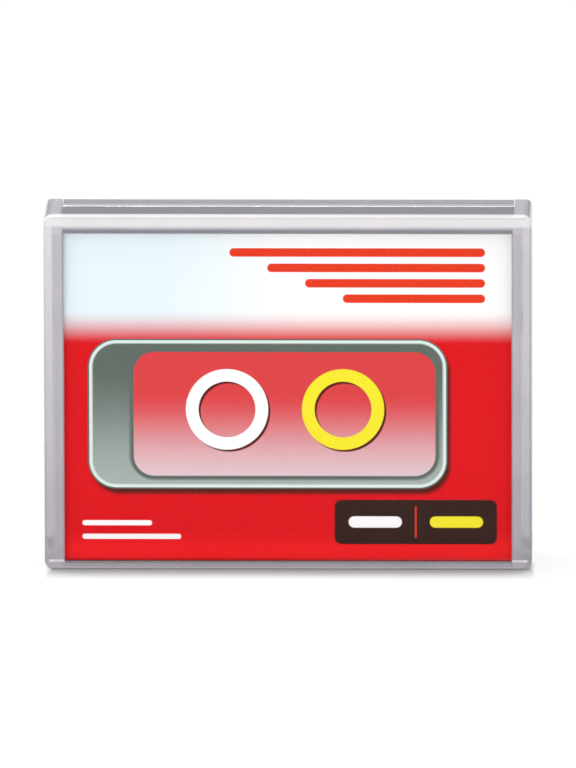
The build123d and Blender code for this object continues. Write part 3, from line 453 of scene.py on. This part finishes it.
# Silver plate with its shadow, its bevel and the panel in it
PLATE = Box((-3.5 * MM, 27.2 * MM), (31.0 * MM, 13.2 * MM), 5.0 * MM)
PLATE_BELOW = Box((PLATE.middle[0] + 0.5 * MM, PLATE.middle[1] - 0.9 * MM), PLATE.half, PLATE.radius)
PLATE_BELOW_SOFT = 0.5 * MM
PLATE_FADE = (13.0 * MM, 36.0 * MM)
PLATE_GRAIN_SPAN = (0.35, 0.7)
PLATE_GRAIN_SHARE = 0.25
PLATE_LINE = 0.25 * MM
PLATE_BEVEL = 0.8 * MM
PLATE_BEVEL_SOFT = 0.2 * MM
PANEL = Box((-0.6 * MM, 27.2 * MM), (26.0 * MM, 10.9 * MM), 3.6 * MM)
PANEL_LINE = 0.7 * MM
PANEL_LINE_SOFT = 0.3 * MM
PANEL_FADE = (13.5 * MM, 31.0 * MM)


def print_plate(n, x, z, colour):
    """The plate turns pale and its panel pink towards their lower edges."""
    shadow = rounded_box(n, x, z, PLATE_BELOW)
    colour = inked(n, shadow, colour, PRINT_SHADOW, PLATE_BELOW_SOFT)
    grain = n.ramp(n.noise(scale=9000.0), *PLATE_GRAIN_SPAN)
    metal = n.mix(n.ramp(z, *PLATE_FADE), SILVER_PALE, SILVER_MID)
    metal = n.mix(n.times(grain, PLATE_GRAIN_SHARE), metal, SILVER_DARK)
    plate = rounded_box(n, x, z, PLATE)
    colour = inked(n, plate, colour, SILVER_DARK)
    colour = inked(n, n.plus(plate, PLATE_LINE), colour, SILVER_LIGHT)
    colour = inked(n, n.plus(plate, PLATE_BEVEL), colour, metal, PLATE_BEVEL_SOFT)
    panel = rounded_box(n, x, z, PANEL)
    colour = inked(n, n.minus(panel, PANEL_LINE), colour, SILVER_DARK, PANEL_LINE_SOFT)
    pink = n.mix(n.ramp(z, *PANEL_FADE), PANEL_PALE, PANEL_RED)
    return inked(n, panel, colour, pink)


RING_LEFT = (-10.5 * MM, 28.0 * MM)
RING_RIGHT = (9.5 * MM, 28.0 * MM)
RING_R = 6.0 * MM
RING_HALF_W = 1.1 * MM
RING_SHADOW = 0.35 * MM
RING_SHADOW_SOFT = 0.12 * MM


def print_rings(n, x, z, colour):
    """A white and a yellow ring, each with a small shadow."""
    for middle, fill in ((RING_LEFT, CARD_WHITE), (RING_RIGHT, YELLOW)):
        below = (middle[0] + RING_SHADOW, middle[1] - RING_SHADOW)
        shadow = ring(n, x, z, below, RING_R, RING_HALF_W)
        colour = inked(n, shadow, colour, PRINT_SHADOW, RING_SHADOW_SOFT)
        colour = inked(n, ring(n, x, z, middle, RING_R, RING_HALF_W), colour, fill)
    return colour


BADGE = Box((22.0 * MM, 8.2 * MM), (14.0 * MM, 3.9 * MM), 1.2 * MM)
PILL_OFFSET = 7.0 * MM
PILL_HALF = (4.6 * MM, 1.0 * MM)
DIVIDER = Box(BADGE.middle, (0.15 * MM, 2.8 * MM), 0.1 * MM)


def print_badge(n, x, z, colour):
    """Dark badge with a white and a yellow pill and a divider between them."""
    colour = inked(n, rounded_box(n, x, z, BADGE), colour, BADGE_BROWN)
    for offset, fill in ((-PILL_OFFSET, CARD_WHITE), (PILL_OFFSET, YELLOW)):
        middle = (BADGE.middle[0] + offset, BADGE.middle[1])
        pill = rounded_box(n, x, z, Box(middle, PILL_HALF, PILL_HALF[1]))
        colour = inked(n, pill, colour, fill)
    return inked(n, rounded_box(n, x, z, DIVIDER), colour, STRIPE_RED)


LINE_LEFT = -35.5 * MM
LINE_TOP = 8.0 * MM
LINE_PITCH = 2.4 * MM
LINE_HALVES = (6.0 * MM, 8.5 * MM)
LINE_HALF_H = 0.45 * MM
LINE_R = 0.4 * MM


def print_lines(n, x, z, colour):
    """Two short white lines at the lower left."""
    for index, half in enumerate(LINE_HALVES):
        middle = (LINE_LEFT + half, LINE_TOP - index * LINE_PITCH)
        line = rounded_box(n, x, z, Box(middle, (half, LINE_HALF_H), LINE_R))
        colour = inked(n, line, colour, CARD_WHITE)
    return colour


# The print is on the card's outside: it ends inside the sheet, and under the fold it reaches further back
PRINT_BACK = CARD_FRONT + 0.2 * MM
PRINT_END = (PRINT_BACK - 0.01 * MM, PRINT_BACK)
FOLD_TURN = (CARD_FOOT + 0.2 * MM, CARD_FOOT + 0.12 * MM)
FOLD_REACH = 0.8 * MM


def printed_card():
    """Coated card with a print of colour fields on its outside."""
    n = Nodes("printed_card")
    x, y, z = n.places()
    fibre = n.noise(scale=2500.0, detail=4.0)
    paper = n.mix(fibre, PAPER_GREY, PAPER_WHITE)
    ink = print_ground(n, x, z)
    for layer in (print_stripes, print_plate, print_rings, print_badge, print_lines):
        ink = layer(n, x, z, ink)
    depth = n.minus(y, n.times(n.ramp(z, *FOLD_TURN), FOLD_REACH))
    return n.finish(n.principled(
        Base_Color=n.mix(n.ramp(depth, *PRINT_END), ink, paper),
        Roughness=0.6,
        Specular_IOR_Level=0.05,
        Normal=n.bump(fibre, distance=0.02 * MM, strength=0.3),
    ))


# Moulded plastic: grain of its texture, and how far its gloss and its colour vary
MOULD_GRAIN = 3500.0
MOULD_ROUGH_SWING = 0.1
MOULD_DARKER = 0.85


def moulded(name, colour, roughness, grain=MOULD_GRAIN):
    """Moulded plastic with a fine spark-eroded texture and slight shade changes."""
    n = Nodes(name)
    texture = n.noise(grain, detail=2.0)
    drift = n.ramp(n.noise(scale=60.0, detail=2.0), *NOISE_SPAN)
    darker = tuple(MOULD_DARKER * part for part in colour)
    least = roughness - MOULD_ROUGH_SWING / 2
    return n.finish(n.principled(
        Base_Color=n.mix(drift, darker, colour),
        Roughness=n.plus(least, n.times(texture, MOULD_ROUGH_SWING)),
        Normal=n.bump(texture, distance=0.012 * MM, strength=0.6),
    ))


def label_paper():
    """Matt white label with paper fibres."""
    n = Nodes("label_paper")
    fibre = n.noise(scale=3000.0, detail=4.0)
    return n.finish(n.principled(
        Base_Color=n.mix(fibre, LABEL_GREY, LABEL_WHITE),
        Roughness=0.65,
        Normal=n.bump(fibre, distance=0.01 * MM, strength=0.4),
    ))


STEEL_ROUGH = 0.18
STEEL_ROUGH_SWING = 0.15


def steel():
    """Bright steel with an unevenly worn gloss."""
    n = Nodes("steel")
    wear = n.noise(scale=1800.0)
    return n.finish(n.principled(
        Base_Color=STEEL_GREY,
        Metallic=1.0,
        Roughness=n.plus(STEEL_ROUGH, n.times(wear, STEEL_ROUGH_SWING)),
    ))


def wound_tape():
    """Dark coated film with a slightly uneven surface."""
    n = Nodes("wound_tape")
    turns = n.noise(scale=2200.0, detail=2.0)
    return n.finish(n.principled(
        Base_Color=n.mix(turns, TAPE_DARK, TAPE_LIGHT),
        Roughness=0.3,
        Normal=n.bump(turns, distance=0.006 * MM, strength=0.5),
    ))


SMEAR_ROUGH = 0.08


def clear_pane():
    """Clear moulded plastic, slightly smeared."""
    n = Nodes("window_pane")
    smear = n.noise(scale=150.0, detail=2.0)
    return n.finish(n.principled(
        Base_Color=WINDOW_TINT,
        IOR=PLASTIC_IOR,
        Transmission_Weight=1.0,
        Roughness=n.times(smear, SMEAR_ROUGH),
    ))


def dress(node, material):
    """Give a carried-over piece its material."""
    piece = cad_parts[node]
    if not piece.material_slots:
        piece.data.materials.append(material)
    for slot in piece.material_slots:
        slot.link = "OBJECT"
        slot.material = material


def dress_all():
    """Every carried-over piece gets the material of its real one."""
    dress("front_cover", case_plastic("cover_plastic", cover_tint, cover_lit, cover_alpha))
    dress("rear_tray", case_plastic("tray_plastic", tray_tint))
    dress("inlay_card", printed_card())
    shell = moulded("shell_plastic", SHELL_BLACK, roughness=0.5)
    door = moulded("door_plastic", DOOR_BLACK, roughness=0.42)
    slide = moulded("slider_plastic", SLIDER_GREY, roughness=0.4)
    hub = moulded("hub_plastic", HUB_WHITE, roughness=0.35)
    brake = moulded("brake_plastic", BRAKE_WHITE, roughness=0.4)
    tab = moulded("tab_plastic", TAB_ORANGE, roughness=0.4)
    film = moulded("sheet_film", FILM_GREY, roughness=0.55, grain=1200.0)
    suits = {
        shell: ["lower_shell", "upper_shell"],
        door: ["front_door"],
        slide: ["slider"],
        hub: ["supply_hub", "takeup_hub", "supply_leader_clamp", "takeup_leader_clamp"],
        brake: ["brake_plate"],
        tab: ["write_protect_tab"],
        film: ["lower_slip_sheet", "upper_slip_sheet"],
        label_paper(): ["main_label", "edge_label"],
        steel(): ["shell_screws", "door_spring", "brake_spring", "guide_pin_left", "guide_pin_right"],
        wound_tape(): ["supply_tape_pack", "takeup_tape_pack", "tape_span"],
        clear_pane(): ["window", "light_prism_left", "light_prism_right"],
    }
    for material, names in suits.items():
        for name in names:
            dress(name, material)


dress_all()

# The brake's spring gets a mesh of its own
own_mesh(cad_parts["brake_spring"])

# Floor: its size and how much of its look is plain white. A painted contact shadow, drawn from ambient
# occlusion, lies along the case's front and in a narrow strip at its right side.
FLOOR_REACH = 3.0
FLOOR_WHITE = 0.88
SHADOW_REACH = 8.0 * MM
SHADOW_SAMPLES = 24
SHADOW_SPAN = (0.5, 1.0)
SHADOW_LEAST = 0.30
SHADOW_CURVE = 1.5
LEFT_OUT = (COVER_LEFT + 2.2 * MM, COVER_LEFT)
RIGHT_OUT = (COVER_RIGHT - 1.2 * MM, COVER_RIGHT + 0.8 * MM)
FURTHER_BACK = (COVER_FRONT + 1.0 * MM, COVER_FRONT + 7.0 * MM)
FURTHER_RIGHT = (COVER_RIGHT - 0.2 * MM, COVER_RIGHT)


def floor_light(n):
    """Painted shadow: 1 on the open floor and less where the case stands on it."""
    x, y, _ = n.places()
    near = n.add("ShaderNodeAmbientOcclusion", samples=SHADOW_SAMPLES)
    near.inputs["Distance"].default_value = SHADOW_REACH
    open_share = n.ramp(near.outputs["AO"], *SHADOW_SPAN, smooth=False)
    shade = n.times(n.maths("POWER", open_share, SHADOW_CURVE), 1.0 - SHADOW_LEAST)
    further = n.times(n.ramp(y, *FURTHER_BACK), n.ramp(x, *FURTHER_RIGHT))
    beside = n.largest(n.ramp(x, *LEFT_OUT), n.ramp(x, *RIGHT_OUT), further)
    return n.largest(beside, n.plus(shade, SHADOW_LEAST))


def floor_paint():
    """White floor, which the camera and reflections see almost evenly lit, with a painted shadow at the
    contact.
    """
    n = Nodes("floor")
    paint = n.principled(Base_Color=FLOOR_GREY, Roughness=0.9)
    white = n.add("ShaderNodeEmission")
    n.link(floor_light(n), white.inputs["Strength"])
    path = n.add("ShaderNodeLightPath").outputs
    seen = n.largest(path["Is Camera Ray"], path["Is Glossy Ray"], path["Is Transmission Ray"])
    both = n.add("ShaderNodeMixShader")
    n.feed(both.inputs[0], n.times(seen, FLOOR_WHITE))
    n.link(paint.outputs[0], both.inputs[1])
    n.link(white.outputs[0], both.inputs[2])
    return n.finish(both)


def lay_floor():
    mesh = bpy.data.meshes.new("floor")
    corners = [
        (-FLOOR_REACH, -FLOOR_REACH, 0),
        (FLOOR_REACH, -FLOOR_REACH, 0),
        (FLOOR_REACH, FLOOR_REACH, 0),
        (-FLOOR_REACH, FLOOR_REACH, 0),
    ]
    mesh.from_pydata(corners, [], [(0, 1, 2, 3)])
    mesh.materials.append(floor_paint())
    floor = bpy.data.objects.new("floor", mesh)
    bpy.context.collection.objects.link(floor)


# Studio: its light overhead and at the horizon, and the rise between them as the sine of the elevation
ZENITH = 0.85
HORIZON = 0.3
RISE = (0.1, 0.7)


def studio_world():
    """Pale overhead, darker towards the horizon, and white where the camera sees it."""
    world = bpy.data.worlds.new("studio")
    bpy.context.scene.world = world
    world.use_nodes = True
    tree = world.node_tree
    coords = tree.nodes.new("ShaderNodeTexCoord")
    parts = tree.nodes.new("ShaderNodeSeparateXYZ")
    tree.links.new(coords.outputs["Generated"], parts.inputs[0])
    level = tree.nodes.new("ShaderNodeMapRange")
    level.interpolation_type = "SMOOTHSTEP"
    for socket, value in zip(list(level.inputs)[1:5], (*RISE, HORIZON, ZENITH)):
        socket.default_value = value
    tree.links.new(parts.outputs[2], level.inputs[0])
    seen = tree.nodes.new("ShaderNodeLightPath").outputs["Is Camera Ray"]
    strength = tree.nodes.new("ShaderNodeMath")
    strength.operation = "MAXIMUM"
    tree.links.new(level.outputs[0], strength.inputs[0])
    tree.links.new(seen, strength.inputs[1])
    tree.links.new(strength.outputs[0], tree.nodes["Background"].inputs[1])
    tree.nodes["Background"].inputs[0].default_value = (1, 1, 1, 1)


def softbox(name, place, aim, size, power):
    """Rectangular lamp, with its power in watts."""
    data = bpy.data.lights.new(name, "AREA")
    data.shape = "RECTANGLE"
    data.size, data.size_y = size
    data.energy = power
    lamp = bpy.data.objects.new(name, data)
    bpy.context.collection.objects.link(lamp)
    lamp.location = place
    lamp.rotation_mode = "QUATERNION"
    lamp.rotation_quaternion = (Vector(aim) - Vector(place)).to_track_quat("-Z", "Y")


CASE_MIDDLE = (0, 0, 0.03)
CASE_TOP = (0, 0, 0.06)

lay_floor()
studio_world()
softbox("front", place=(-0.35, -1.0, 0.25), aim=CASE_MIDDLE, size=(0.5, 0.4), power=2.3)
softbox("overhead", place=(-0.06, 0.07, 0.80), aim=CASE_MIDDLE, size=(0.2, 0.14), power=4.0)
softbox("edge_strip", place=(-0.04, -0.18, 0.80), aim=CASE_TOP, size=(0.6, 0.08), power=0.5)

# Camera at the photo's viewing angle; its sensor and lens are in millimetres
AZIMUTH = math.radians(1.25)
ELEVATION = math.radians(11.78)
ROLL = math.radians(-0.17)
DISTANCE = 4.4
TARGET = Vector((0.05 * MM, -7.6 * MM, 32.75 * MM))
SENSOR = 36.0
LENS = 1197.7
CLIP_END = 20.0


def place_camera():
    data = bpy.data.cameras.new("camera")
    data.sensor_width = SENSOR
    data.lens = LENS
    data.clip_end = CLIP_END
    camera = bpy.data.objects.new("camera", data)
    bpy.context.collection.objects.link(camera)
    back = Vector((
        math.sin(AZIMUTH) * math.cos(ELEVATION),
        -math.cos(AZIMUTH) * math.cos(ELEVATION),
        math.sin(ELEVATION),
    ))
    camera.location = TARGET + back * DISTANCE
    turned = (-back).to_track_quat("-Z", "Y") @ Quaternion((0, 0, 1), ROLL)
    camera.rotation_euler = turned.to_euler()
    bpy.context.scene.camera = camera


place_camera()
bpy.context.scene.view_settings.view_transform = "Standard"
